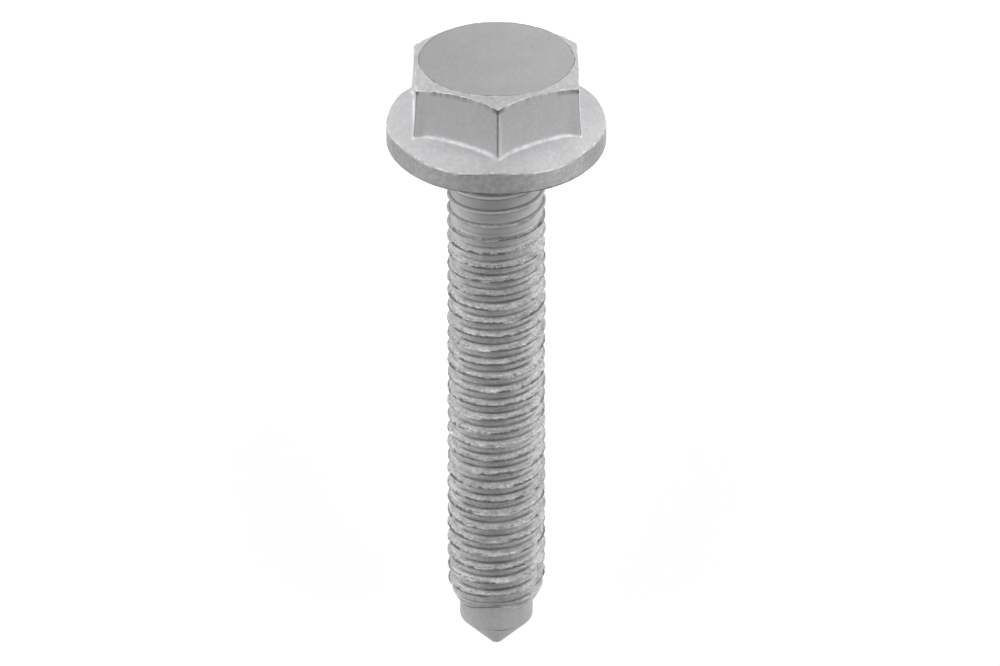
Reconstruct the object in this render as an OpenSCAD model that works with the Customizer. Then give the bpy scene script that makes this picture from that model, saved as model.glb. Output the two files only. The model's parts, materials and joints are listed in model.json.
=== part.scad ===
// Hex flange screw, threaded right up to the flange, with a pilot point.
// Sizes are in millimetres. The screw is drawn along its own axis with the
// bearing face at height 0, the head above it and the thread below, and is
// then laid down as it comes to rest: on the rim of the flange and on the
// last full crest of the thread.

/* [Head] */
// Width of the hexagon between two opposite flats
across_flats = 12.8; // [12:0.1:13]
// Turn of the hexagon from having a corner straight in front, in degrees
hexagon_turn = 1.2; // [-30:0.1:30]
// Radius on the six upright corners of the hexagon
corner_round = 0.3; // [0.1:0.1:0.6]
// Height of the head above the bearing face
head_height = 7.5; // [7:0.1:9]
// Diameter of the flat circle on top of the head
top_face_d = 12.2; // [11.6:0.1:12.2]
// Slope of the conical chamfer around the top circle, in degrees
chamfer_slope = 30; // [20:1:40]

/* [Flange] */
// Outside diameter of the flange
flange_d = 17.25; // [16.5:0.25:18.5]
// Height at which the crowned top meets the middle of a flat
crown_height = 3.2; // [2.8:0.1:3.6]
// Height at which the crowned top reaches the rim
rim_height = 1.7; // [1.4:0.1:2.2]
// Radius of the crown, seen in section
crown_round = 4.2; // [3.6:0.2:6]
// Radius on the upper edge of the rim
rim_top_round = 0.25; // [0.1:0.05:0.4]
// Radius on the lower edge of the rim
rim_bottom_round = 0.4; // [0.2:0.05:0.6]
// Radius of the fillet between the bearing face and the shank
neck_round = 0.6; // [0.4:0.1:0.8]

/* [Thread] */
// Outside diameter over the crests
thread_d = 7.8; // [7.4:0.1:8.2]
// Distance along the axis from one crest to the next
thread_pitch = 1.25; // [1:0.25:1.5]
// Depth of the groove below the crests
thread_depth = 0.6; // [0.45:0.05:0.75]
// Width of the flat on a crest
crest_width = 0.16; // [0.1:0.02:0.24]
// Distance of the first crest below the bearing face, on the left side
first_crest = 0.7; // [0.4:0.1:1.2]
// Straight pieces around one turn
turn_steps = 32; // [24:1:36]

/* [Point] */
// Length from the bearing face to the very tip
shank_length = 45.4; // [35:0.1:60]
// Diameter of the smooth pilot below the thread
pilot_d = 5.8; // [5:0.1:6]
// Length of the pilot below the end of the thread
pilot_length = 1; // [0.6:0.1:3]
// Length over which the last crests run down to the pilot
runout_length = 2.5; // [2:0.1:4]
// Diameter of the small flat at the tip
tip_d = 0.9; // [0.5:0.1:2]
// Angle of the tip cone between its two sides, in degrees
tip_angle = 88; // [70:1:120]
// Radius on the shoulder between the pilot and the cone
shoulder_round = 0.3; // [0.1:0.1:0.6]

/* [Hidden] */
// A circle this fine stays a true circle in the solid
round_steps = 96;
// Straight pieces around each small corner of the hexagon
corner_steps = 4;
// How far one solid reaches into its neighbour so that they become one
overlap = 0.4;
// Red, green and blue of the grey coating
coating = [0.66, 0.66, 0.67];

flat_r = across_flats / 2;
corner_r = flat_r / cos(30);
top_face_r = top_face_d / 2;
// The chamfer cone is drawn down to where it is wider than the corners
chamfer_drop = (corner_r - top_face_r) * tan(chamfer_slope) + overlap;

flange_r = flange_d / 2;
// The hexagon and the crown hide this cylinder
flange_core_r = flat_r - overlap;
// Centre of the crown's arc, from its two ends and its radius
crown_chord = norm([flange_r - flat_r, crown_height - rim_height]);
crown_reach = sqrt(crown_round * crown_round - crown_chord * crown_chord / 4);
crown_x = (flat_r + flange_r) / 2 - crown_reach * (crown_height - rim_height) / crown_chord;
crown_z = (crown_height + rim_height) / 2 - crown_reach * (flange_r - flat_r) / crown_chord;
// Centre of the arc that rounds the rim's upper edge into the crown
rim_arc_x = flange_r - rim_top_round;
rim_arc_z = crown_z + sqrt(pow(crown_round - rim_top_round, 2) - pow(rim_arc_x - crown_x, 2));
// Where that arc leaves the crown
crown_end_x = crown_x + (rim_arc_x - crown_x) * crown_round / (crown_round - rim_top_round);

thread_r = thread_d / 2;
root_r = thread_r - thread_depth;
// The two flanks of a crest stand at 60 degrees to each other
flank_width = thread_depth * tan(30);
// The plain shank that the thread is rolled on is as thick as the thread at half its depth
blank_r = (thread_r + root_r) / 2;
// Directions around the axis, from the right-hand side and over the underside
resting_side = 90;
left_side = 180;
// Corners of the thread's section in one pitch
band_edges = 4;
// The crests run down to the pilot slowly at first and then faster: 1 would be a straight taper
runout_power = 1.7;
// Past its end the band sinks into the pilot and the cone, this much for each unit of length
sink_rate = 1.2;

pilot_r = pilot_d / 2;
tip_r = tip_d / 2;
// Height of the sharp corner between the pilot and the cone
cone_top = -shank_length + (pilot_r - tip_r) / tan(tip_angle / 2);
// The shoulder's arc meets the pilot this far above the sharp corner
shoulder_rise = shoulder_round * tan(tip_angle / 4);
thread_end = cone_top + pilot_length;
full_thread_end = thread_end + runout_length;
runout_drop = thread_r - pilot_r;

// Height of each crest on the side that the screw rests on
resting_crests = [
    for (n = [0 : floor(shank_length / thread_pitch)])
    -first_crest + thread_pitch * (resting_side - left_side) / 360 - thread_pitch * n
];

// Outer radius of the thread, less where it runs down to the pilot
function crest_limit(z) = z > full_thread_end ? thread_r
    : z > thread_end ? thread_r - runout_drop * pow((full_thread_end - z) / runout_length, runout_power)
    : pilot_r - (thread_end - z) * sink_rate;

// Slope at which the screw would lie on its flange and on the crest at height z
function lie_on(z) = let (
    side = flange_r - rim_bottom_round - crest_limit(z),
    along = rim_bottom_round - z
) atan2(side, along) + asin(rim_bottom_round / norm([side, along]));

lie_slope = min([for (z = resting_crests) if (z > thread_end) lie_on(z)]);
lie_height = (flange_r - rim_bottom_round) * cos(lie_slope) + rim_bottom_round * (1 - sin(lie_slope));
// The lying screw is moved this far along, so that its two ends are equally far from the middle
lie_shift = ((shank_length - head_height) * cos(lie_slope) - (top_face_r - tip_r) * sin(lie_slope)) / 2;

module hexagon() {
    // the six corner arcs are centred this far out, and each turns through 60 degrees
    arc_r = corner_r - corner_round / cos(30);
    polygon([
        for (corner = [0 : 60 : 300], step = [0 : corner_steps])
        let (
            a = corner + hexagon_turn - 90,
            b = a - 30 + 60 * step / corner_steps
        )
        [arc_r * cos(a) + corner_round * cos(b), arc_r * sin(a) + corner_round * sin(b)]
    ]);
}

module head() {
    intersection() {
        translate([0, 0, overlap]) linear_extrude(height = head_height - overlap) hexagon();
        union() {
            cylinder(h = head_height - chamfer_drop, r = corner_r + overlap, $fn = round_steps);
            translate([0, 0, head_height - chamfer_drop]) cylinder(
                h = chamfer_drop,
                r1 = top_face_r + chamfer_drop / tan(chamfer_slope),
                r2 = top_face_r,
                $fn = round_steps
            );
        }
    }
}

module flange_section() {
    inner_x = flange_core_r - overlap;
    square([flange_core_r, rim_height]);
    translate([inner_x, 0]) square([flange_r - rim_bottom_round - inner_x, rim_bottom_round]);
    translate([inner_x, rim_bottom_round]) square([flange_r - inner_x, rim_arc_z - rim_bottom_round]);
    translate([flange_r - rim_bottom_round, rim_bottom_round])
        circle(r = rim_bottom_round, $fn = round_steps);
    translate([rim_arc_x, rim_arc_z])
        circle(r = rim_top_round, $fn = round_steps);
    intersection() {
        translate([crown_x, crown_z]) circle(r = crown_round, $fn = round_steps);
        translate([inner_x, rim_bottom_round]) square([crown_end_x - inner_x, head_height]);
    }
}

module flange() {
    rotate_extrude($fn = round_steps) flange_section();
}

// The fillet under the head, with the shank inside it
module neck() {
    rotate_extrude($fn = round_steps) polygon(concat(
        [[0, overlap], [0, -neck_round]],
        [
            for (a = [0 : 15 : 90])
            [blank_r + neck_round * (1 - cos(a)), -neck_round * (1 - sin(a))]
        ],
        [[blank_r + neck_round, overlap]]
    ));
}

// The thread is a band with four edges to a turn, wound down the shank from
// inside the flange until its last turn has sunk into the pilot, and closed at
// both ends
module thread() {
    wound_from = ceil((rim_height + first_crest) / thread_pitch) * thread_pitch - first_crest;
    turns = (wound_from - thread_end) / thread_pitch + 1;
    last = ceil(turns * turn_steps);
    // height of the section's corners below the top of the crest, and their radii
    drops = [0, crest_width, crest_width + flank_width, thread_pitch - flank_width];
    radii = [thread_r, thread_r, root_r, root_r];
    edge_points = [
        for (i = [0 : last], k = [0 : band_edges - 1])
        let (
            a = left_side - 360 * i / turn_steps,
            z = wound_from + crest_width / 2 - thread_pitch * i / turn_steps - drops[k],
            r = min(radii[k], crest_limit(z))
        )
        [r * cos(a), r * sin(a), z]
    ];
    top_point = [0, 0, wound_from];
    end_point = [0, 0, wound_from - thread_pitch * last / turn_steps];
    top = len(edge_points);
    end = top + 1;
    // points are counted along the band, so the next turn's lie this many further on
    next_turn = turn_steps * band_edges;
    foot = last * band_edges - next_turn;
    sides = [
        for (i = [0 : last - turn_steps - 1], k = [0 : band_edges - 1])
        let (
            a = i * band_edges + k,
            b = k < band_edges - 1 ? a + 1 : i * band_edges + next_turn
        )
        [a + band_edges, a, b, b + band_edges]
    ];
    top_faces = [
        for (i = [0 : turn_steps - 1])
        [top, i * band_edges, (i + 1) * band_edges]
    ];
    end_faces = [
        for (i = [0 : turn_steps - 1])
        [end, foot + (i + 1) * band_edges, foot + i * band_edges]
    ];
    polyhedron(
        points = concat(edge_points, [top_point, end_point]),
        faces = concat(
            sides,
            top_faces,
            end_faces,
            [[top, next_turn, 3, 2, 1, 0]],
            [[end, foot, foot + 1, foot + 2, foot + 3, foot + next_turn]]
        ),
        convexity = 10
    );
}

module point_section() {
    polygon([
        [0, full_thread_end],
        [pilot_r, full_thread_end],
        [pilot_r, cone_top + shoulder_rise],
        [
            pilot_r - shoulder_rise * sin(tip_angle / 2),
            cone_top - shoulder_rise * cos(tip_angle / 2)
        ],
        [tip_r, -shank_length],
        [0, -shank_length]
    ]);
    translate([pilot_r - shoulder_round, cone_top + shoulder_rise])
        circle(r = shoulder_round, $fn = round_steps);
}

module pilot_and_tip() {
    rotate_extrude($fn = round_steps) point_section();
}

module screw() {
    color(coating)
    translate([0, lie_shift, lie_height])
    rotate([lie_slope - 90, 0, 0]) {
        head();
        flange();
        neck();
        thread();
        pilot_and_tip();
    }
}

screw();
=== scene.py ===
import json
import math
import bpy
import numpy as np
from mathutils import Matrix, Vector


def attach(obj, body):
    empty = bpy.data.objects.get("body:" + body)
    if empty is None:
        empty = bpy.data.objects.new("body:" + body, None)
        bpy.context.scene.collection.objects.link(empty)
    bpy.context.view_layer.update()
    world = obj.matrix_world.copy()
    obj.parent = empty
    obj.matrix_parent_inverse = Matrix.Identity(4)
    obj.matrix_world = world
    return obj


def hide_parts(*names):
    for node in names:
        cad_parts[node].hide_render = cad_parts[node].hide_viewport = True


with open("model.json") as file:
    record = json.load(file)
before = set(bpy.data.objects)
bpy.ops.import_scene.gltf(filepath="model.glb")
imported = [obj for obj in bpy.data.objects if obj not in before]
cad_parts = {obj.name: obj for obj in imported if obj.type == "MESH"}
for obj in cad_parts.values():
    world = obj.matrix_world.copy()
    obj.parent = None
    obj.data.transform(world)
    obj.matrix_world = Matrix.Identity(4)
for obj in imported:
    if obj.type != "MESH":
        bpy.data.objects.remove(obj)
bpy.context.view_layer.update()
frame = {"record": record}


# The screw lies on its flange and on a crest near the tip. It is drawn along its own
# axis in millimetres, bearing face at height 0 and head above it, and turned from there.
threadMount = {mount["name"]: mount for mount in frame["record"]["mounts"]}["thread"]
alongAxis = -Vector(threadMount["axis"]).normalized()
acrossAxis = Vector((1, 0, 0))
behindAxis = alongAxis.cross(acrossAxis)
bearingCentre = Vector(threadMount["pos_m"])
mm = 0.001

# Everything is drawn this much inside the true size, so that no facet stands out of it
skinGap = 0.01


def turned(x, y, z):
    # a direction of the upright screw, in the lying screw's scene
    return acrossAxis * x + behindAxis * y + alongAxis * z


def fromScrew(x, y, z):
    # a point of the upright screw, in mm, put where it lies in the scene
    return bearingCentre + turned(x, y, z) * mm


def linearColour(hexCode):
    channels = [int(hexCode[i:i + 2], 16) / 255 for i in (1, 3, 5)]
    return [c / 12.92 if c <= 0.04045 else ((c + 0.055) / 1.055) ** 2.4 for c in channels] + [1]


def addNode(tree, kind, values=None, links=None, **settings):
    # one node with its settings, its plain input values and what feeds it
    node = tree.nodes.new(kind)
    for name, value in settings.items():
        setattr(node, name, value)
    for name, value in (values or {}).items():
        node.inputs[name].default_value = value
    for name, socket in (links or {}).items():
        tree.links.new(socket, node.inputs[name])
    return node


def joinKnots(knots, place):
    # heights one apart, joined smoothly, and from the first again after the last
    whole = np.floor(place).astype(int)
    part = place - whole
    ease = part * part * (3 - 2 * part)
    return knots[whole % len(knots)] * (1 - ease) + knots[(whole + 1) % len(knots)] * ease


def noiseAround(angles, knotCount, seed):
    # random heights of -1 to 1, this many in a whole turn
    rng = np.random.default_rng(seed)
    return joinKnots(rng.uniform(-1, 1, knotCount), (angles / (2 * math.pi)) % 1 * knotCount)


def noiseAlong(length, knotGap, seed):
    # the same along the thread, one every knotGap mm
    rng = np.random.default_rng(seed)
    return joinKnots(rng.uniform(-1, 1, int(length.max() / knotGap) + 3), length / knotGap)


def bump(x, middle, width):
    # 1 at its middle, and less than 0.02 from twice its width on
    return np.exp(-((x - middle) / width) ** 2)


def lineThrough(x, corners):
    # straight lines through (x, height) corners, level past both ends
    return np.interp(x, [corner[0] for corner in corners], [corner[1] for corner in corners])


def fromFront(angles):
    # degrees from the side that the camera sees, more to the right
    return (np.degrees(angles) + 90 + 180) % 360 - 180


def meshPiece(name, points, faces, marks, streakPlaces=None):
    # points are in the upright screw's mm; marks are 0 to 1 at each point; streak places are mm
    # along and across the thread at each face corner
    turn = np.array([acrossAxis, behindAxis, alongAxis])
    placed = np.array(bearingCentre) + points @ turn * mm
    mesh = bpy.data.meshes.new(name)
    mesh.from_pydata(placed.tolist(), [], faces)
    for mark, amount in marks.items():
        mesh.attributes.new(mark, "FLOAT", "POINT").data.foreach_set("value", amount.astype(np.float32))
    if streakPlaces is not None:
        layer = mesh.uv_layers.new(name="streakPlace")
        layer.data.foreach_set("uv", streakPlaces.astype(np.float32))
    mesh.polygons.foreach_set("use_smooth", [True] * len(mesh.polygons))
    mesh.update()
    piece = bpy.data.objects.new(name, mesh)
    bpy.context.collection.objects.link(piece)
    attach(piece, "root")
    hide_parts("screw")
    print(name + ":", len(mesh.polygons), "faces")
    return piece


def ringMesh(name, angles, rows, topCentre, endCentre):
    # rows of radius, height, rubbing and painted light, residue and painted shade, and mottled around the
    # axis, closed with a middle point at both ends
    count = len(angles)
    radii, heights, rub, dark, mottled = [
        np.array([np.broadcast_to(row[i], count) for row in rows]) for i in range(5)
    ]
    points = np.stack([radii * np.cos(angles), radii * np.sin(angles), heights], axis=-1).reshape(-1, 3)
    points = np.vstack([points, [[0, 0, topCentre], [0, 0, endCentre]]])
    marks = {
        mark: np.append(amount.reshape(-1), [amount[0].mean(), amount[-1].mean()])
        for mark, amount in (("rubbedAndLit", rub), ("residueAndShade", dark), ("mottled", mottled))
    }
    faces = []
    for i in range(len(rows) - 1):
        for k in range(count):
            a, b = i * count + k, i * count + (k + 1) % count
            faces.append((a, a + count, b + count, b))
    top, end = len(points) - 2, len(points) - 1
    last = (len(rows) - 1) * count
    for k in range(count):
        faces.append((top, k, (k + 1) % count))
        faces.append((end, last + (k + 1) % count, last + k))
    return meshPiece(name, points, faces, marks)


def arcRows(centreR, centreZ, radius, startAngle, endAngle, steps):
    # rows along an arc of the section, angles in radians from straight out
    angles = [startAngle + (endAngle - startAngle) * i / steps for i in range(steps + 1)]
    return [(centreR + radius * np.cos(a), centreZ + radius * np.sin(a)) for a in angles]


def between(a, b, parts):
    # rows between two others, at the given parts of the way
    return [(a[0] + (b[0] - a[0]) * t, a[1] + (b[1] - a[1]) * t) for t in parts]


head = {
    "flatRadius": 6.4,       # half of 12.8 mm across flats
    "cornerRound": 0.3,
    "turn": 1.2,             # degrees from having a corner straight in front
    "height": 7.5,
    "topRadius": 6.1,
    # the flat top isn't quite round: (degrees from the front, mm further out)
    "topReach": [(0, -0.13), (25, -0.04), (60, 0), (90, 0.1), (120, 0.03), (180, -0.07)],
    "chamferSlope": 30,
    "topEdgeRound": 0.14,
    "chamferEdgeRound": 0.12,
    "baseFillet": 0.33,      # where the flats run into the crown
    "cornerFlare": 0.26,     # how far the corners spread at their foot, the one in front less
    "flareShare": [(0, 0.25), (30, 0.6), (60, 1)],
    "flareWidth": 4.5,       # degrees
    "cornerWear": 3.0,       # degrees to both sides of a corner
    "topDark": (0.19, 0.1),  # in the middle of the top, and how much more at its left edge
    "chamferRub": 0.1,
    "wallRub": 0.03,
    "belowChamfer": 0.6,     # how much of the chamfer's dark line reaches the flats
    "filletSides": 0.4,      # painted highlight to both sides of the fillet, as a part of its own
    "columns": 720,          # around, gathered at the six corners
    "gathering": 0.85,
}

flange = {
    "radius": 8.625,
    "crownHeight": 3.1,
    "rimHeight": 1.72,
    "cornerRise": 0.27,      # the rim stands this much higher below each corner of the hexagon
    "riseNarrowing": 0.14,   # and is narrower there by this part of it, within the true size
    "crownRound": 4.2,
    "rimTopRound": 0.25,
    "rimBottomRound": 0.4,
    "neckRadius": 3.6,
    "neckRound": 0.6,
    "neckInside": 0.5,       # how far the neck reaches into the shank
}

# Wear, unevenness, painted light and painted shade around the head and flange: a plain amount, more of it at
# the hexagon's corners, noises of (amount, heights in a turn, seed) and spots of (amount, degrees to the
# right of the front, width). Rubbing and painted light, residue and painted shade are 0 to 1.
headWear = {
    "topOut": {"plain": -0.04, "noises": [(0.035, 70, 51), (0.025, 210, 52)]},    # mm
    "topDark": {"plain": 0.6, "noises": [(0.5, 60, 31), (0.45, 230, 32)]},
    "topRub": {"plain": 0.35, "noises": [(0.6, 90, 33)]},
    "chamferRound": {"plain": 1, "noises": [(0.3, 150, 34)]},                     # part of the radius
    "chamferUp": {"plain": 0, "noises": [(0.025, 110, 35)], "spots": [(0.33, 0, 25)]},    # mm
    "chamferRub": {"plain": 0.45, "atCorners": 0.3, "noises": [(0.7, 140, 37)]},
    "chamferDark": {"plain": 0.35, "atCorners": 0.9, "noises": [(0.6, 40, 38), (0.45, 200, 36)]},
    "filletRound": {"plain": 1, "noises": [(0.18, 130, 39), (0.12, 330, 40)]},    # part of the radius
    # painted highlight along the fillet where the flats meet the crown, less at the corners
    "filletHighlight": {"plain": 0.85, "atCorners": -0.3, "noises": [(0.3, 170, 41), (0.3, 60, 42)]},
    # the crown is painted lighter, more to the sides and less in front: painted light
    "crownLight": {"plain": 0.24, "spots": [(-0.22, 0, 16), (0.3, 66, 20), (0.1, -70, 20)]},
    "rimUp": {"plain": 0, "noises": [(0.04, 45, 50)]},                            # mm
    "rimRound": {"plain": 1, "noises": [(0.18, 110, 43), (0.12, 340, 44)]},       # part of the radius
    "rimRub": {"plain": 0.5, "noises": [(0.9, 120, 45), (0.45, 330, 46)]},
    "rimEdgeDark": {"plain": 0.15, "noises": [(0.5, 90, 47)]},
    # painted shade on the rim wall, most at both sides, less a little right of the front
    "rimShade": {"plain": 0.18, "spots": [(0.31, -65, 24), (0.32, 66, 15), (-0.16, 27, 12)]},
    # painted shadow along the rim's lower arc, where it overhangs the shank
    "underRimShadow": {"plain": 0.9, "noises": [(0.35, 160, 49)], "spots": [(-0.6, -45, 22)]},
}
# The upright corners catch light on their outer side and stay dark on the other: (amount,
# degrees outwards from the corner, width)
cornerLines = {"rub": (0.75, 0.75, 0.5), "dark": (0.75, -0.45, 0.5), "flareHighlight": (0.8, 0.9, 1.2)}
# How clearly the mottle of the coating shows, 0 to 1
headMottle = {"flats": 0.2, "crown": 0.35, "fillet": 0.5, "edges": 0.6, "rim": 0.8}


def fromCorner(angles):
    # degrees from the nearest corner of the hexagon
    return (np.degrees(angles) - head["turn"] + 90 + 30) % 60 - 30


def wearAround(angles, wear):
    total = wear["plain"] + wear.get("atCorners", 0) * bump(fromCorner(angles), 0, head["cornerWear"])
    for amount, knotCount, seed in wear.get("noises", []):
        total = total + amount * noiseAround(angles, knotCount, seed)
    for amount, middle, width in wear.get("spots", []):
        total = total + amount * bump(fromFront(angles), middle, width)
    return total


def headColumns():
    # angles around, and the hexagon's radius at each
    perSide = head["columns"] // 6
    t = np.arange(perSide) / perSide
    corner = 60 * (t - head["gathering"] * np.sin(2 * math.pi * t) / (2 * math.pi))
    nearest = np.radians(np.minimum(corner, 60 - corner))
    halfSide = math.radians(30)
    flatR = head["flatRadius"] - skinGap
    arcR = (flatR - head["cornerRound"]) / math.cos(halfSide)
    onArc = nearest < math.atan2(head["cornerRound"] / 2, arcR + head["cornerRound"] * math.cos(halfSide))
    arcPart = np.sqrt(np.maximum(head["cornerRound"] ** 2 - (arcR * np.sin(nearest)) ** 2, 0))
    radius = np.where(onArc, arcR * np.cos(nearest) + arcPart, flatR / np.cos(halfSide - nearest))
    angles = np.radians(np.concatenate([corner + 60 * k + head["turn"] - 90 for k in range(6)]))
    return angles, np.tile(radius, 6)


def crownCentre():
    # middle of the crown's arc in section, from its two ends and its radius
    chord = math.hypot(flange["radius"] - head["flatRadius"], flange["crownHeight"] - flange["rimHeight"])
    reach = math.sqrt(flange["crownRound"] ** 2 - chord ** 2 / 4)
    rise = (flange["crownHeight"] - flange["rimHeight"]) / chord
    run = (flange["radius"] - head["flatRadius"]) / chord
    return (
        (head["flatRadius"] + flange["radius"]) / 2 - reach * rise,
        (flange["crownHeight"] + flange["rimHeight"]) / 2 - reach * run,
    )


def addTop(add, angles, hexR):
    # flat top, a small round on its edge, the chamfer cone and the edge that it leaves
    slope = math.radians(head["chamferSlope"])
    upright = math.pi / 2
    topZ = head["height"] - skinGap
    topR = head["topRadius"] - skinGap + wearAround(angles, headWear["topOut"])
    topR = topR + lineThrough(np.abs(fromFront(angles)), head["topReach"])
    topArcR = topR - head["topEdgeRound"] * math.tan(slope / 2)
    middleDark, leftDark = head["topDark"]
    for part in (0.1, 0.3, 0.5, 0.7, 0.85, 0.95, 0.985):
        add([(topArcR * part, topZ)], dark=middleDark - leftDark * part * np.cos(angles))
    topArc = arcRows(topArcR, topZ - head["topEdgeRound"], head["topEdgeRound"], upright, upright - slope, 4)
    add(topArc[:2], dark=wearAround(angles, headWear["topDark"]))
    add(topArc[2:], rub=wearAround(angles, headWear["topRub"]))
    edge = head["chamferEdgeRound"] * wearAround(angles, headWear["chamferRound"])
    wallTop = topZ - (hexR - topR) * math.tan(slope) + wearAround(angles, headWear["chamferUp"])
    arcMidR = hexR - edge
    arcMidZ = wallTop - edge * math.tan((upright - slope) / 2)
    arcStart = (arcMidR + edge * math.sin(slope), arcMidZ + edge * math.cos(slope))
    add(between(topArc[-1], arcStart, (0.08, 0.35, 0.65, 0.92)),
        rub=head["chamferRub"], mottled=headMottle["edges"])
    edgeArc = arcRows(arcMidR, arcMidZ, edge, upright - slope, 0, 5)
    add(edgeArc[:3], rub=wearAround(angles, headWear["chamferRub"]), mottled=headMottle["edges"])
    add(edgeArc[3:], dark=wearAround(angles, headWear["chamferDark"]), mottled=headMottle["edges"])
    return arcMidZ


def addWall(add, angles, hexR, wallTop):
    # the flats, and the fillet that runs into the crown
    midR, midZ = crownCentre()
    crown = flange["crownRound"] - skinGap
    corner = fromCorner(angles)
    flareShare = lineThrough(np.abs(fromFront(angles)), head["flareShare"])
    flare = head["cornerFlare"] * flareShare * bump(corner, 0, head["flareWidth"])
    fillet = head["baseFillet"] * wearAround(angles, headWear["filletRound"])
    filletR = hexR + flare + fillet
    filletZ = midZ + np.sqrt((crown + fillet) ** 2 - (filletR - midR) ** 2)
    outward = np.where(np.cos(angles) < -0.3, -corner, corner)
    # painted highlight on each corner's outer side and its flare, painted shade on the other side
    cornerHighlight, cornerShade, flareHighlight = [
        amount * bump(outward, middle, width) for amount, middle, width in cornerLines.values()
    ]
    belowChamfer = head["belowChamfer"] * wearAround(angles, headWear["chamferDark"])
    for part in (0.015, 0.05, 0.1, 0.3, 0.45, 0.6, 0.7, 0.8, 0.9, 0.97):
        row = (hexR + flare * part ** 2, wallTop + (filletZ - wallTop) * part)
        dark = cornerShade + belowChamfer if part < 0.1 else cornerShade
        add([row], rub=np.maximum(cornerHighlight, part * flareHighlight) + head["wallRub"], dark=dark)
    crownStart = np.arctan2(filletZ - midZ, filletR - midR)
    filletArc = arcRows(filletR, filletZ, fillet, math.pi, math.pi + crownStart, 8)
    filletHighlight = wearAround(angles, headWear["filletHighlight"])
    add(filletArc[:2], rub=head["filletSides"] * filletHighlight)
    add(filletArc[2:7], rub=filletHighlight, mottled=headMottle["fillet"])
    add(filletArc[7:], rub=head["filletSides"] * filletHighlight)
    return crownStart


def addFlange(add, angles, crownStart):
    # the crown, the rim and the plain underside; the rim's upper edge is uneven from trimming
    midR, midZ = crownCentre()
    crown = flange["crownRound"] - skinGap
    atCorner = 0.5 + 0.5 * np.cos(6 * np.radians(fromCorner(angles)))
    rise = flange["cornerRise"] * atCorner + wearAround(angles, headWear["rimUp"])
    rimR = flange["radius"] - skinGap - flange["riseNarrowing"] * np.maximum(rise, 0)
    topRound = flange["rimTopRound"] * wearAround(angles, headWear["rimRound"])
    rimMidR = rimR - topRound
    rimMidZ = midZ + np.sqrt((crown - topRound) ** 2 - (rimMidR - midR) ** 2)
    crownEnd = np.arctan2(rimMidZ - midZ, rimMidR - midR)
    crownLight = wearAround(angles, headWear["crownLight"])
    for part in (0.03, 0.1, 0.2, 0.3, 0.4, 0.5, 0.6, 0.7, 0.8, 0.88, 0.94, 0.98):
        a = crownStart + (crownEnd - crownStart) * part
        row = (midR + crown * np.cos(a), midZ + crown * np.sin(a) + rise * part ** 2)
        add([row], rub=crownLight, mottled=headMottle["crown"])
    rimArc = arcRows(rimMidR, rimMidZ + rise, topRound, crownEnd, 0, 7)
    add(rimArc[:4], rub=wearAround(angles, headWear["rimRub"]), mottled=headMottle["edges"])
    add(rimArc[4:6], mottled=headMottle["rim"])
    add(rimArc[6:], dark=wearAround(angles, headWear["rimEdgeDark"]), mottled=headMottle["rim"])
    low = flange["rimBottomRound"]
    rimRows = between((rimR, rimMidZ + rise), (rimR, low), (0.05, 0.25, 0.5, 0.75, 0.96))
    lowArc = arcRows(rimR - low, low + skinGap, low, 0, -math.pi / 2, 8)
    add(rimRows + lowArc[:2], dark=wearAround(angles, headWear["rimShade"]), mottled=headMottle["rim"])
    add(lowArc[2:], dark=wearAround(angles, headWear["underRimShadow"]), mottled=headMottle["edges"])
    neckR, neckRound = flange["neckRadius"], flange["neckRound"]
    add(between((rimR - low, skinGap), (neckR + neckRound, skinGap), (0.02, 0.3, 0.6, 0.98)))
    add(arcRows(neckR + neckRound, -neckRound + skinGap, neckRound, math.pi / 2, math.pi, 6))
    add([(neckR - flange["neckInside"], -neckRound)])


def makeHead():
    angles, hexR = headColumns()
    rows = []

    def add(newRows, rub=0.0, dark=0.0, mottled=headMottle["flats"]):
        rows.extend([(r, z, np.clip(rub, 0, 1), np.clip(dark, 0, 1), mottled) for r, z in newRows])

    wallTop = addTop(add, angles, hexR)
    crownStart = addWall(add, angles, hexR, wallTop)
    addFlange(add, angles, crownStart)
    return ringMesh("HeadAndFlange", angles, rows, head["height"] - skinGap, -flange["neckRound"])


thread = {
    "radius": 3.9,
    "pitch": 1.25,
    "depth": 0.6,
    "flankAngle": 30,        # degrees of each flank
    "crestWidth": 0.16,
    "firstCrest": 0.7,       # below the bearing face, on the left side
    "startTurn": 0.25,       # wound from inside the flange
    "runoutLength": 2.5,
    "runoutPower": 1.7,
    "sinkRate": 1.2,
    "endLift": 0.4,          # the last turn sinks into the pilot this much above the source's end
    "frontLift": 0.73,       # and in front this much higher still
    "frontLiftWidth": 42,    # degrees
    "columns": 240,          # a turn: one every 0.1 mm of crest
    "pieces": 2,             # cut into this many pieces of equal face count along the band
    # the section's points, mm below the middle of the crest, closer together on the crest and
    # at the corner of the groove
    "drops": [-0.2, -0.14, -0.09, -0.05, -0.015, 0.02, 0.055, 0.09, 0.13, 0.21, 0.33, 0.44,
              0.6, 0.73, 0.79, 0.83, 0.88, 0.96],
    # how far it is rounded: (mm below the crest, mm), most on the upper side of the crest
    "rounding": [(-0.62, 0.05), (-0.45, 0.04), (-0.4, 0.05), (-0.3, 0.15), (-0.15, 0.26), (-0.05, 0.2),
                 (0.0, 0.12), (0.06, 0.04), (0.2, 0.06), (0.44, 0.08), (0.63, 0.05)],
    "rootRound": 0.03,       # where the groove has a flat bottom
    "raggedWidth": 0.08,     # of the crest's lower edge
    "ridgeHeight": 0.08,     # of the narrow ridges close under the head
    "ridgeWidth": 0.075,
    "seamAt": 0.045,         # below the middle of the crest
    "seamWidth": 0.08,
    "seamDepth": 0.08,
    "chips": 900,
    "chipLength": (0.06, 0.22),
    "chipDepth": (0.01, 0.08),
    "chipPlace": (-0.34, 0.0, 0.14),    # mm below the crest: furthest up, most often, furthest down
    "chipWidth": 0.05,
}
flankWidth = thread["depth"] * math.tan(math.radians(thread["flankAngle"]))

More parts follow.
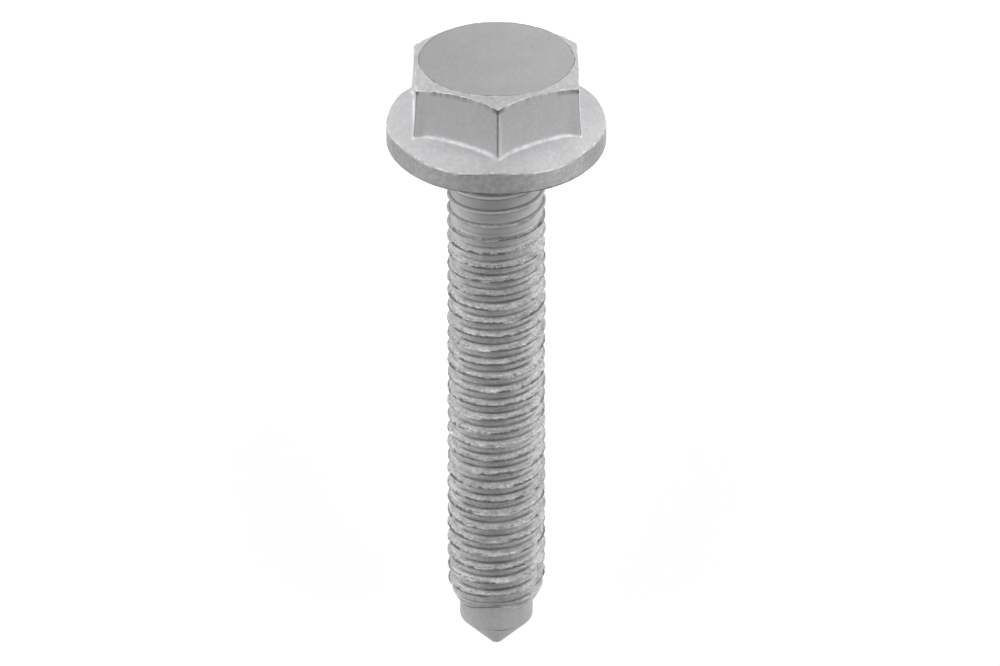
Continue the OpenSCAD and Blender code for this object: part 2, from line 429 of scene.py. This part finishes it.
# What changes with the distance below the bearing face: (mm, amount)
belowHead = {
    "bite": [(2.5, 0.28), (5.5, 0.4), (8.5, 1.0)],     # part of the full depth that was rolled
    "ragged": [(4.5, 0.2), (7.5, 1)],
    "ridges": [(5, 1), (8.5, 0)],
    "ridgeAt": [(3.3, -0.03), (3.8, 0.06)],            # mm below the crest
    "brokenRidge": [(4, 0.3), (6, 1)],
    "seam": [(4.6, 0), (7.5, 1)],
    "dots": [(6, 0), (7, 1), (9.5, 1), (10.5, 0)],
    "corners": [(4, 0), (5.5, 1)],
    # painted shadow of the flange on the thread close under it, and darker still just below the rim
    "flangeShadow": [(3.2, 0.26), (4.6, 0.04), (5, 0.04), (8.5, 0)],
    "shadowUnderFlange": [(2.64, 0.8), (2.8, 0)],
    "streaks": [(4.5, 0.3), (6, 1)],
}

# Wear along the thread: a plain amount and noises of (amount, mm between heights, seed)
alongWear = {
    "ragged": (0, [(0.045, 0.5, 11), (0.035, 0.2, 12)]),      # mm
    "bite": (0, [(0.04, 3.0, 16)]),
    "seam": (0.55, [(2.6, 2.4, 13), (0.9, 0.45, 14)]),
    "dashes": (-0.1, [(0.9, 1.1, 17), (0.7, 0.3, 18)]),
    "ridges": (0, [(0.9, 2.2, 21), (0.3, 0.4, 23)]),
    "dots": (0.3, [(1, 4.0, 22)]),
    "residueAndShade": (1, [(0.25, 1.3, 19)]),
    "flankHighlight": (0.14, [(0.25, 2.0, 20)]),
}

# Lines along the thread: (amount, mm below the crest, width)
crestLines = {
    "dashes": (1.2, -0.12, 0.05),        # seen from the seam
    "dots": (1.4, -0.14, 0.06),
    # painted highlight along the upper flank, where it faces the light
    "flankHighlight": (1, -0.32, 0.17),
    "aboveRidge": (0.8, -0.18, 0.055),   # seen from the ridge
    "belowRidge": (0.8, 0.2, 0.06),
    "streaks": (0.45, -0.04, 0.16),
    "crest": (1, 0, 0.2),
}

# Painted light and shade on every turn: (amount, degrees from the front, width, mm below the crest, width)
rightFlankLight = (0.6, 66, 9, 0.25, 0.2)
rightFrontShade = (0.56, 39, 11, 0.22, 0.2)
sidesLight = (0.14, 62, 11)            # between the crests

threadTone = {
    "ridgeRub": 2,           # along the low ridges, whose tops then reach full rubbing
    "ridgeShare": 0.8,       # how much of their length is rubbed
    "plainRub": 0.04,
    "dotGap": 0.31,          # mm
    "crestDark": 0.24,
    "crestDarkWidth": (0.17, 0.1),       # mm above and below the crest
    "cornerWidth": (0.1, 0.05),          # mm above and below the corner of the groove
    "cornerDown": 0.05,      # mm, how far the line lies below the corner
    "seamDark": 1.4,
    "chipDark": 8,           # for each mm of depth
    "brightChip": 0.05,      # mm: a chip this deep is no longer rubbed
    "endLineUp": 0.1,        # mm above the thread's end
    "endLineWidth": 0.12,
    "plainStreaks": 0.6,
    "smoothRidges": 0.7,     # how much weaker the streaks are between the low ridges
    "streakFade": 0.1,       # mm above the pilot
    "mottle": 0.9,
}

# What changes around the thread: (degrees from the front, amount)
aroundThread = {
    # the groove's corner line is painted shade, strongest in front
    "corners": [(30, 0.88), (45, 0.85), (62, 0.15), (100, 0.4)],
    # painted shadow under the last crest where the thread ends
    "endShadow": [(-70, 0), (-55, 1.1), (0, 1.1), (12, 0)],
    "endRub": [(5, 0), (14, 0.9), (50, 0.9), (60, 0)],
}

point = {
    "length": 45.4,
    "pilotRadius": 2.9,
    "pilotLength": 1.0,
    "tipRadius": 0.45,
    "halfAngle": 44,
    "shoulderRound": 0.3,
    "tipRound": 0.08,
    "pilotInside": 1.6,      # how far the pilot reaches up into the thread
    "columns": 192,
    "shoulderRub": 0.3,
    "coneRub": 0.14,
    "tipRub": 0.5,
    "mottled": 0.3,
}
# As in headWear: the pilot is painted lighter and less dark in front, a painted highlight, with a dark
# scratch on its shoulder there
pointWear = {
    "pilotLight": {"plain": 0.12, "spots": [(0.3, 0, 30)]},
    "pilotDark": {"plain": 0.28, "spots": [(-0.28, 0, 32), (0.1, 45, 20)]},
    "scratch": {"plain": 0, "spots": [(1.2, 8, 13)]},
}
coneHeight = (point["pilotRadius"] - point["tipRadius"]) / math.tan(math.radians(point["halfAngle"]))
coneTop = coneHeight - point["length"]
threadEnd = coneTop + point["pilotLength"] + thread["endLift"]
fullThreadEnd = threadEnd + thread["runoutLength"]


def wearAlong(length, name):
    plain, noises = alongWear[name]
    return plain + sum(amount * noiseAlong(length, knotGap, seed) for amount, knotGap, seed in noises)


def crestLine(below, name):
    amount, middle, width = crestLines[name]
    return amount * bump(below, middle, width)


def patch(places, marks):
    amount, sideways, wide, down, high = marks
    return amount * bump(places["fromFront"], sideways, wide) * bump(places["below"], down, high)


def crestLimit(z, lift):
    # outer radius of the thread, less where it runs down to the pilot and then into it
    runout = thread["radius"] - point["pilotRadius"]
    down = np.clip((fullThreadEnd + lift - z) / thread["runoutLength"], 0, 1) ** thread["runoutPower"]
    return thread["radius"] - runout * down - np.maximum(threadEnd + lift - z, 0) * thread["sinkRate"]


def nearestCrest(drop):
    # mm below the middle of the nearest crest
    return (drop + thread["pitch"] / 2) % thread["pitch"] - thread["pitch"] / 2


def threadSection(below):
    # height above the root as a part of the depth: a crest flat and two straight flanks
    fromMiddle = np.abs(nearestCrest(below))
    return np.clip((thread["crestWidth"] / 2 + flankWidth - fromMiddle) / flankWidth, 0, 1)


def threadPlaces():
    # one column of places along the helix, and the section's places below its crest
    pitch = thread["pitch"]
    turnsInFlange = math.ceil((flange["rimHeight"] + thread["firstCrest"]) / pitch)
    highest = turnsInFlange * pitch - thread["firstCrest"]
    turns = (highest - threadEnd) / pitch + 1 - thread["startTurn"]
    count = math.ceil(turns * thread["columns"]) + 1
    turnAt = thread["startTurn"] + np.arange(count)[:, None] / thread["columns"]
    drops = np.array(thread["drops"])
    places = {
        "crestZ": highest - pitch * turnAt,
        "length": (turnAt - turnAt[0]) * 2 * math.pi * thread["radius"],
        "angle": math.pi - 2 * math.pi * turnAt,
        "drops": drops,
        "below": nearestCrest(drops),
    }
    places["z"] = places["crestZ"] - drops
    places["fromFront"] = fromFront(places["angle"])
    places["frontLift"] = thread["frontLift"] * bump(places["fromFront"], 0, thread["frontLiftWidth"])
    return places


def threadDamage(places):
    # what rolling and handling did to the crests, at each place of the thread
    length, below, depthDown = places["length"], places["below"], -places["crestZ"]
    rough = lineThrough(depthDown, belowHead["ragged"])
    ragged = wearAlong(length, "ragged") * rough
    seamAt = thread["seamAt"] + ragged
    seamShare = np.clip(wearAlong(length, "seam"), 0, 1) * lineThrough(depthDown, belowHead["seam"])
    bite = lineThrough(depthDown, belowHead["bite"])
    chips = np.zeros((len(length), len(below)))
    rng = np.random.default_rng(15)
    for i in range(thread["chips"]):
        at, size = rng.uniform(0, length.max()), rng.uniform(*thread["chipLength"])
        low, high = np.searchsorted(length[:, 0], [at - 3 * size, at + 3 * size])
        chipAt = rng.triangular(*thread["chipPlace"])
        shape = bump(length[low:high], at, size) * bump(below, chipAt, thread["chipWidth"])
        chips[low:high] += rng.uniform(*thread["chipDepth"]) * shape
    ridgeAt = lineThrough(depthDown, belowHead["ridgeAt"])
    return {
        "rough": rough,
        "ragged": ragged,
        "seamAt": seamAt,
        "seam": seamShare * bump(below, seamAt, thread["seamWidth"]),
        "bite": bite + wearAlong(length, "bite") * (bite < 0.95),
        "nearHead": lineThrough(depthDown, belowHead["ridges"]),
        "ridgeAt": ridgeAt,
        "ridgeTop": bump(below, ridgeAt, thread["ridgeWidth"]),
        "chips": chips * rough,
    }


def threadRadius(places, damage):
    # the section rounded by an average over its neighbourhood, then worn
    below, depth = places["below"], thread["depth"]
    rounding = lineThrough(below, thread["rounding"])
    nearEdge = bump(below, thread["crestWidth"] / 2, thread["raggedWidth"])
    shifts = np.linspace(-1, 1, 9)
    height = sum(threadSection(below + rounding * s + damage["ragged"] * nearEdge) for s in shifts)
    height = height / len(shifts)
    # close under the head the rolls haven't bitten so deep
    most = depth * damage["bite"]
    soft = thread["rootRound"]
    fallen = most - np.logaddexp(0, (most - depth * (1 - height)) / soft) * soft
    fallen = np.maximum(fallen - fallen.min(axis=1, keepdims=True), 0)
    r = thread["radius"] - skinGap - fallen
    r -= thread["ridgeHeight"] * damage["nearHead"] * (1 - damage["ridgeTop"])
    r -= thread["seamDepth"] * damage["seam"] + damage["chips"]
    return np.minimum(r, crestLimit(places["z"], places["frontLift"]) - skinGap), height


def threadEndLine(places):
    # a line in front where the thread ends
    endZ = threadEnd + places["frontLift"] + threadTone["endLineUp"]
    return bump(places["z"], endZ, threadTone["endLineWidth"])


def threadRubAndLight(places, damage):
    # crests are rubbed bright in dashes, and close under the head the low ridges along their tops
    length, below, sideways = places["length"], places["below"], places["fromFront"]
    depthDown = -places["crestZ"]
    dashes = np.clip(wearAlong(length, "dashes"), 0, 1) * damage["rough"]
    unchipped = 1 - np.clip(damage["chips"] / threadTone["brightChip"], 0, 1)
    rub = dashes * crestLine(below - damage["seamAt"], "dashes") * unchipped
    ridge = lineThrough(depthDown, belowHead["brokenRidge"]) * wearAlong(length, "ridges")
    ridge = np.clip(threadTone["ridgeShare"] + ridge, 0, 1) * damage["nearHead"]
    rub += threadTone["ridgeRub"] * ridge * damage["ridgeTop"]
    # rolling left a row of dots where the thread gets its full depth
    dots = lineThrough(depthDown, belowHead["dots"]) * np.clip(wearAlong(length, "dots"), 0, 1)
    dots = dots * np.maximum(np.cos(2 * math.pi * length / threadTone["dotGap"]), 0) ** 2
    rub += dots * crestLine(below, "dots")
    rub += threadEndLine(places) * lineThrough(sideways, aroundThread["endRub"])
    # painted light: the sides are lighter than the front, above all the lower flanks on the right
    amount, middle, width = sidesLight
    rub += amount * bump(np.abs(sideways), middle, width) * (1 - crestLine(below, "crest"))
    rub += patch(places, rightFlankLight)
    # painted highlight along the upper flanks
    rub += wearAlong(length, "flankHighlight") * crestLine(below, "flankHighlight")
    return np.clip(rub + threadTone["plainRub"], 0, 1)


def threadResidueAndShade(places, damage):
    # dark residue in the seam and the chips, and painted shade in the groove's corners, most in front
    length, below, sideways = places["length"], places["below"], places["fromFront"]
    depthDown = -places["crestZ"]
    cornerAt = thread["pitch"] - thread["crestWidth"] / 2 - flankWidth + threadTone["cornerDown"]
    pastCorner = places["drops"] - cornerAt
    # painted shade along the groove's corner
    cornerShadeLine = bump(pastCorner, 0, np.where(pastCorner < 0, *threadTone["cornerWidth"]))
    cornerShade = lineThrough(np.abs(sideways), aroundThread["corners"])
    cornerShade = cornerShade * lineThrough(depthDown, belowHead["corners"])
    crestTop = bump(below, 0, np.where(below < 0, *threadTone["crestDarkWidth"]))
    dark = wearAlong(length, "residueAndShade") * np.minimum(damage["bite"], 1)
    dark = dark * (cornerShade * cornerShadeLine + threadTone["crestDark"] * crestTop)
    # the low ridges have a dark line on both sides, and between them and right under the flange lies painted
    # shadow of the flange
    fromRidge = below - damage["ridgeAt"]
    dark += damage["nearHead"] * (crestLine(fromRidge, "aboveRidge") + crestLine(fromRidge, "belowRidge"))
    dark += lineThrough(depthDown, belowHead["flangeShadow"]) * (1 - damage["ridgeTop"])
    dark += lineThrough(-places["z"], belowHead["shadowUnderFlange"])
    dark += threadEndLine(places) * lineThrough(sideways, aroundThread["endShadow"])
    # painted shade on the lower flanks right of the front
    dark += patch(places, rightFrontShade)
    dark += threadTone["seamDark"] * damage["seam"] + threadTone["chipDark"] * damage["chips"]
    return np.clip(dark, 0, 1)


def threadStreaks(places, damage, r):
    # the rolls leave streaks everywhere, most on the crests, and none past the thread's end
    below = places["below"]
    streaks = threadTone["plainStreaks"] + crestLine(below, "streaks")
    besideCrest = 1 - crestLine(below, "crest")
    streaks = streaks * (1 - threadTone["smoothRidges"] * damage["nearHead"] * besideCrest)
    streaks = streaks * lineThrough(-places["crestZ"], belowHead["streaks"])
    return streaks * np.clip((r - point["pilotRadius"]) / threadTone["streakFade"], 0, 1)


def threadFaces(count):
    # the band between each turn and the next, and what closes it inside the flange and the cone
    perTurn, across = thread["columns"], len(thread["drops"])
    nextTurn = perTurn * across
    band = []
    for i in range(count - 1 - perTurn):
        for k in range(across):
            a = i * across + k
            b = a + 1 if k < across - 1 else i * across + nextTurn
            band.append((a + across, a, b, b + across))
    top, end = count * across, count * across + 1
    foot = (count - 1) * across - nextTurn
    topFaces = [(top, i * across, (i + 1) * across) for i in range(perTurn)]
    topFaces.append((top, nextTurn, *range(across - 1, -1, -1)))
    endFaces = [(end, foot + (i + 1) * across, foot + i * across) for i in range(perTurn)]
    endFaces.append((end, *range(foot, foot + across), foot + nextTurn))
    return band, topFaces, endFaces


def threadStreakPlaces(length, height):
    # mm along the thread and down its section, at each corner of the band's faces
    drops, shown = np.array(thread["drops"]), len(length) - 1 - thread["columns"]
    fromCrest = np.append(drops, drops[0] + thread["pitch"])
    sectionHeight = np.append(height.mean(axis=0), height[:, 0].mean()) * thread["depth"]
    down = np.concatenate([[0], np.cumsum(np.hypot(np.diff(fromCrest), np.diff(sectionHeight)))])
    places = np.zeros((shown, len(drops), 4, 2))
    places[:, :, [1, 2], 0] = length[:shown, :, None]
    places[:, :, [0, 3], 0] = length[1:shown + 1, :, None]
    places[:, :, [0, 1], 1] = down[None, :-1, None]
    places[:, :, [2, 3], 1] = down[None, 1:, None]
    return places.reshape(-1, 8)


def makeThread():
    places = threadPlaces()
    damage = threadDamage(places)
    r, height = threadRadius(places, damage)
    streaks = threadStreaks(places, damage, r)
    marks = {
        "rubbedAndLit": threadRubAndLight(places, damage),
        "residueAndShade": threadResidueAndShade(places, damage),
        "streaks": streaks,
        "mottled": threadTone["mottle"] * streaks,
    }
    marks = {name: np.append(mark.reshape(-1), [0, 0]) for name, mark in marks.items()}
    crestZ, angle = places["crestZ"], places["angle"]
    points = np.stack([r * np.cos(angle), r * np.sin(angle), places["z"]], axis=-1).reshape(-1, 3)
    points = np.vstack([points, [[0, 0, crestZ[0, 0]], [0, 0, crestZ[-1, 0]]]])
    band, topFaces, endFaces = threadFaces(len(crestZ))
    streakPlaces = threadStreakPlaces(places["length"], height)
    share = len(band) // thread["pieces"]
    pieces = []
    for n in range(thread["pieces"]):
        isLast = n == thread["pieces"] - 1
        ownPart = slice(n * share, len(band) if isLast else (n + 1) * share)
        faces = band[ownPart] + (topFaces if n == 0 else []) + (endFaces if isLast else [])
        ownPlaces = streakPlaces[ownPart].reshape(-1)
        ownPlaces = np.append(ownPlaces, np.zeros(2 * sum(len(face) for face in faces) - len(ownPlaces)))
        used = sorted({v for face in faces for v in face})
        newNumber = {v: i for i, v in enumerate(used)}
        faces = [tuple(newNumber[v] for v in face) for face in faces]
        ownMarks = {name: mark[used] for name, mark in marks.items()}
        pieces.append(meshPiece(f"Thread{n + 1}", points[used], faces, ownMarks, ownPlaces))
    return pieces


def makePoint():
    angles = np.linspace(0, 2 * math.pi, point["columns"], endpoint=False)
    half = math.radians(point["halfAngle"])
    pilotR, tipR, tipZ = point["pilotRadius"] - skinGap, point["tipRadius"], -point["length"] + skinGap
    shoulder, tip = point["shoulderRound"], point["tipRound"]
    # the cone's normal points out and down by the half angle
    arcZ = coneTop + skinGap + shoulder * math.tan(half / 2)
    arc = arcRows(pilotR - shoulder, arcZ, shoulder, 0, -half, 8)
    tipMidR = tipR - tip * math.tan((math.pi / 2 - half) / 2)
    tipArc = arcRows(tipMidR, tipZ + tip, tip, -half, -math.pi / 2, 5)
    pilotHeights = [threadEnd + up for up in (point["pilotInside"], 0.8, 0.3, 0.0, -0.3, -0.6, -1.0)]
    coneRows = between(arc[-1], tipArc[0], (0.03, 0.2, 0.4, 0.6, 0.8, 0.97))
    rows = []

    def add(newRows, rub, dark):
        rows.extend([(r, z, rub, dark, point["mottled"]) for r, z in newRows])

    pilotDark = wearAround(angles, pointWear["pilotDark"])
    add([(pilotR, z) for z in pilotHeights], wearAround(angles, pointWear["pilotLight"]), pilotDark)
    add(arc[:3], point["shoulderRub"], pilotDark)
    add(arc[3:6], point["shoulderRub"], pilotDark + wearAround(angles, pointWear["scratch"]))
    add(arc[6:], point["shoulderRub"], pilotDark)
    add(coneRows, point["coneRub"], 0)
    add(tipArc, point["tipRub"], 0)
    add([(tipMidR * 0.6, tipZ)], 0, 0)
    return ringMesh("PilotAndTip", angles, rows, pilotHeights[0], tipZ)


# Zinc flake coating, dipped, spun and baked on steel: it gives a dry, even grey with a fine sparkle-free
# grain, a little lighter and smoother where edges and crests are rubbed. The rubbed mark also carries painted
# highlights, and the residue mark painted shade.
coating = {
    "colour": "#c4c2c4",
    "rubbedAndLitColour": "#ececee",
    "metallic": 0.05,
    "residueAndShadeTone": 0.24,     # how dark residue and painted shade in corners, seams and under the flange get, as a part of the grey
    "roughness": 0.6,
    "rubbedRoughness": 0.5,
    "cloud": 3.0,            # mm, slow changes of tone from draining and spinning
    "cloudContrast": 0.04,
    "grain": 0.16,           # mm: real flakes are 0.01 mm, which the render can't show
    "grainContrast": 0.05,
    "grainDepth": 0.004,     # mm
    "shortStreak": (0.34, 0.12),    # mm along and across the thread
    "longStreak": (2.4, 0.19),
    "streakContrast": 0.45,
    "streakDepth": 0.012,    # mm
    "mottle": 0.4,           # mm, spots where the coating pooled
    "mottleContrast": 0.2,
    "mottleDepth": 0.01,     # mm
}
# a noise texture hardly leaves this range
noiseLow, noiseHigh = 0.3, 0.7


def coatingStreaks(tree):
    # streaks drawn along the thread: short and long ones added up, -1 to 1
    place = addNode(tree, "ShaderNodeUVMap", uv_map="streakPlace").outputs["UV"]
    noises = []
    for along, across in (coating["shortStreak"], coating["longStreak"]):
        stretched = addNode(tree, "ShaderNodeVectorMath", {1: (1 / along, 1 / across, 0)}, {0: place},
                            operation="MULTIPLY")
        noises.append(addNode(tree, "ShaderNodeTexNoise", {"Scale": 1.0, "Detail": 1.0},
                              {"Vector": stretched.outputs[0]}, noise_dimensions="2D").outputs[0])
    both = addNode(tree, "ShaderNodeMath", {}, {0: noises[0], 1: noises[1]}, operation="ADD")
    centred = addNode(tree, "ShaderNodeMapRange",
                      {"From Min": 2 * noiseLow, "From Max": 2 * noiseHigh, "To Min": -1.0, "To Max": 1.0},
                      {"Value": both.outputs[0]}, clamp=False)
    amount = addNode(tree, "ShaderNodeAttribute", attribute_name="streaks")
    return addNode(tree, "ShaderNodeMath", {}, {0: centred.outputs[0], 1: amount.outputs["Fac"]},
                   operation="MULTIPLY").outputs[0]


def coatingMottle(tree, place):
    # soft spots, -1 to 1
    noise = addNode(tree, "ShaderNodeTexNoise", {"Scale": 1 / (coating["mottle"] * mm), "Detail": 3},
                    {"Vector": place})
    centred = addNode(tree, "ShaderNodeMapRange",
                      {"From Min": noiseLow, "From Max": noiseHigh, "To Min": -1.0, "To Max": 1.0},
                      {"Value": noise.outputs["Fac"]}, clamp=False)
    amount = addNode(tree, "ShaderNodeAttribute", attribute_name="mottled")
    return addNode(tree, "ShaderNodeMath", {}, {0: centred.outputs[0], 1: amount.outputs["Fac"]},
                   operation="MULTIPLY").outputs[0]


def makeCoating():
    material = bpy.data.materials.new("ZincFlakeCoating")
    material.use_nodes = True
    tree = material.node_tree
    tree.nodes.clear()
    place = addNode(tree, "ShaderNodeTexCoord").outputs["Object"]
    # the rubbed mark is real rubbing and painted highlight, the residue mark real residue and painted shade
    rubbedAndLit = addNode(tree, "ShaderNodeAttribute", attribute_name="rubbedAndLit").outputs["Fac"]
    residueAndShade = addNode(tree, "ShaderNodeAttribute", attribute_name="residueAndShade").outputs["Fac"]
    grain = addNode(tree, "ShaderNodeTexNoise", {"Scale": 1 / (coating["grain"] * mm), "Detail": 2},
                    {"Vector": place}).outputs["Fac"]
    cloud = addNode(tree, "ShaderNodeTexNoise", {"Scale": 1 / (coating["cloud"] * mm), "Detail": 3},
                    {"Vector": place}).outputs["Fac"]
    streak = coatingStreaks(tree)
    mottle = coatingMottle(tree, place)
    # every tone is a factor on the colour
    tones = [addNode(tree, "ShaderNodeMapRange", {"To Min": 1.0, "To Max": coating["residueAndShadeTone"]},
                     {"Value": residueAndShade}).outputs[0]]
    for noise, contrast in ((cloud, coating["cloudContrast"]), (grain, coating["grainContrast"])):
        tones.append(addNode(tree, "ShaderNodeMapRange",
                             {"From Min": noiseLow, "From Max": noiseHigh,
                              "To Min": 1 - contrast, "To Max": 1 + contrast}, {"Value": noise}).outputs[0])
    for pattern, contrast in ((streak, coating["streakContrast"]), (mottle, coating["mottleContrast"])):
        tones.append(addNode(tree, "ShaderNodeMath", {1: contrast, 2: 1.0}, {0: pattern},
                             operation="MULTIPLY_ADD").outputs[0])
    allTones = tones[0]
    for tone in tones[1:]:
        allTones = addNode(tree, "ShaderNodeMath", {}, {0: allTones, 1: tone},
                           operation="MULTIPLY").outputs[0]
    plainColour = addNode(tree, "ShaderNodeMix",
                          {"A": linearColour(coating["colour"]), "B": linearColour(coating["rubbedAndLitColour"])},
                          {"Factor": rubbedAndLit}, data_type="RGBA")
    colour = addNode(tree, "ShaderNodeVectorMath", {}, {0: plainColour.outputs["Result"], "Scale": allTones},
                     operation="SCALE")
    rough = addNode(tree, "ShaderNodeMapRange",
                    {"To Min": coating["roughness"], "To Max": coating["rubbedRoughness"]}, {"Value": rubbedAndLit})
    # heights in mm, added up
    height = addNode(tree, "ShaderNodeMath", {1: coating["grainDepth"]}, {0: grain},
                     operation="MULTIPLY").outputs[0]
    for pattern, depth in ((mottle, coating["mottleDepth"]), (streak, coating["streakDepth"])):
        height = addNode(tree, "ShaderNodeMath", {1: depth}, {0: pattern, 2: height},
                         operation="MULTIPLY_ADD").outputs[0]
    relief = addNode(tree, "ShaderNodeBump", {"Strength": 1.0, "Distance": mm}, {"Height": height})
    shader = addNode(tree, "ShaderNodeBsdfPrincipled", {"Metallic": coating["metallic"]},
                     {"Base Color": colour.outputs[0], "Roughness": rough.outputs[0],
                      "Normal": relief.outputs[0]})
    addNode(tree, "ShaderNodeOutputMaterial", {}, {"Surface": shader.outputs[0]})
    print("coating is mixed")
    return material


# Pale matt floor. It renders white where no shadow falls, also in reflections.
floor = {
    "colour": "#ffffff",
    "size": 6.0,             # metres
    "plainShare": 0.8,       # how much light it passes on to the screw
    "glow": 0.85,            # as the camera sees it
    "shadowShare": 0.45,
}


def seenDirectly(tree):
    # 1 for rays from the camera, mirrors and glass, 0 for the light that surfaces pass on
    path = addNode(tree, "ShaderNodeLightPath")
    sharp = addNode(tree, "ShaderNodeMath", {},
                    {0: path.outputs["Is Camera Ray"], 1: path.outputs["Is Glossy Ray"]}, operation="ADD")
    return addNode(tree, "ShaderNodeMath", {}, {0: sharp.outputs[0], 1: path.outputs["Is Transmission Ray"]},
                   operation="ADD", use_clamp=True).outputs[0]


def makeFloor():
    half = floor["size"] / 2
    mesh = bpy.data.meshes.new("Floor")
    corners = [(-half, -half, 0), (half, -half, 0), (half, half, 0), (-half, half, 0)]
    mesh.from_pydata(corners, [], [(0, 1, 2, 3)])
    plane = bpy.data.objects.new("Floor", mesh)
    bpy.context.collection.objects.link(plane)
    material = bpy.data.materials.new("PaleFloor")
    material.use_nodes = True
    tree = material.node_tree
    tree.nodes.clear()
    white = linearColour(floor["colour"])
    plain, shaded = [
        addNode(tree, "ShaderNodeBsdfDiffuse", {"Color": [c * share for c in white[:3]] + [1]}).outputs[0]
        for share in (floor["plainShare"], floor["shadowShare"])
    ]
    glow = addNode(tree, "ShaderNodeEmission", {"Color": white, "Strength": floor["glow"]})
    both = addNode(tree, "ShaderNodeAddShader", {}, {0: shaded, 1: glow.outputs[0]})
    mix = addNode(tree, "ShaderNodeMixShader", {}, {0: seenDirectly(tree), 1: plain, 2: both.outputs[0]})
    addNode(tree, "ShaderNodeOutputMaterial", {}, {"Surface": mix.outputs[0]})
    mesh.materials.append(material)


# Soft boxes stand low around the screw, most of them beside the head and beyond it, and a
# wide one hangs above. Places are in the upright screw's metres, x right, y behind, z along.
stripSize = (0.5, 0.28)
lights = {
    "LeftStrip": {"at": (-0.8, -0.16, 0.1), "size": stripSize, "power": 3.75},
    "RightStrip": {"at": (0.8, -0.16, 0.1), "size": stripSize, "power": 3.95},
    "LeftHeadStrip": {"at": (-0.45, -0.16, 0.8), "size": stripSize, "power": 2.5},
    "RightHeadStrip": {"at": (0.45, -0.16, 0.8), "size": stripSize, "power": 1.25},
    "RightUpperStrip": {"at": (0.62, -0.16, 0.62), "size": stripSize, "power": 1.0},
    "TipStrip": {"at": (0.0, -0.16, -0.9), "size": (0.6, 0.28), "power": 1.65},
    "FrontFill": {"at": (0.0, -1.0, 0.2), "size": (0.9, 0.9), "power": 1.12},
}
lightsAimZ = -19             # mm along the screw, its middle
ambient = 0.01


def makeLights():
    middle = fromScrew(0, 0, lightsAimZ)
    for name, box in lights.items():
        lamp = bpy.data.lights.new(name, "AREA")
        lamp.shape = "RECTANGLE"
        lamp.size, lamp.size_y = box["size"]
        lamp.energy = box["power"]
        lampObject = bpy.data.objects.new(name, lamp)
        bpy.context.collection.objects.link(lampObject)
        lampObject.location = middle + turned(*box["at"])
        lampObject.rotation_euler = (middle - lampObject.location).to_track_quat("-Z", "Y").to_euler()
    world = bpy.data.worlds.new("Studio")
    bpy.context.scene.world = world
    world.use_nodes = True
    tree = world.node_tree
    tree.nodes.clear()
    strength = addNode(tree, "ShaderNodeMapRange", {"To Min": ambient, "To Max": 1.0},
                       {"Value": seenDirectly(tree)})
    sky = addNode(tree, "ShaderNodeBackground", {"Color": (1, 1, 1, 1)}, {"Strength": strength.outputs[0]})
    addNode(tree, "ShaderNodeOutputWorld", {}, {"Surface": sky.outputs[0]})


# The photograph's view: 30 degrees above the upright screw's side, from 1.28 m, long lens
view = {
    "elevation": 30.09,
    "distance": 1280.0,      # mm
    "aimX": 0.284,           # mm, the screw stands a little left of the middle
    "aimZ": -17.2,
    "lens": 585.02,
}


def makeCamera():
    up = math.radians(view["elevation"])
    towards = turned(0, math.cos(up), -math.sin(up))
    imageUp = turned(0, math.sin(up), math.cos(up))
    camera = bpy.data.cameras.new("Camera")
    camera.sensor_width = 36
    camera.lens = view["lens"]
    camera.clip_start = 0.05
    camera.clip_end = 20
    cameraObject = bpy.data.objects.new("Camera", camera)
    bpy.context.collection.objects.link(cameraObject)
    stand = fromScrew(view["aimX"], 0, view["aimZ"]) - towards * view["distance"] * mm
    turn = Matrix((acrossAxis, imageUp, -towards)).transposed().to_4x4()
    cameraObject.matrix_world = Matrix.Translation(stand) @ turn
    bpy.context.scene.camera = cameraObject


makeCamera()
pieces = [makeHead(), *makeThread(), makePoint()]
zincFlake = makeCoating()
for piece in pieces:
    piece.data.materials.append(zincFlake)
makeFloor()
makeLights()
bpy.context.scene.view_settings.view_transform = "Standard"
print("camera, floor and lights are set")
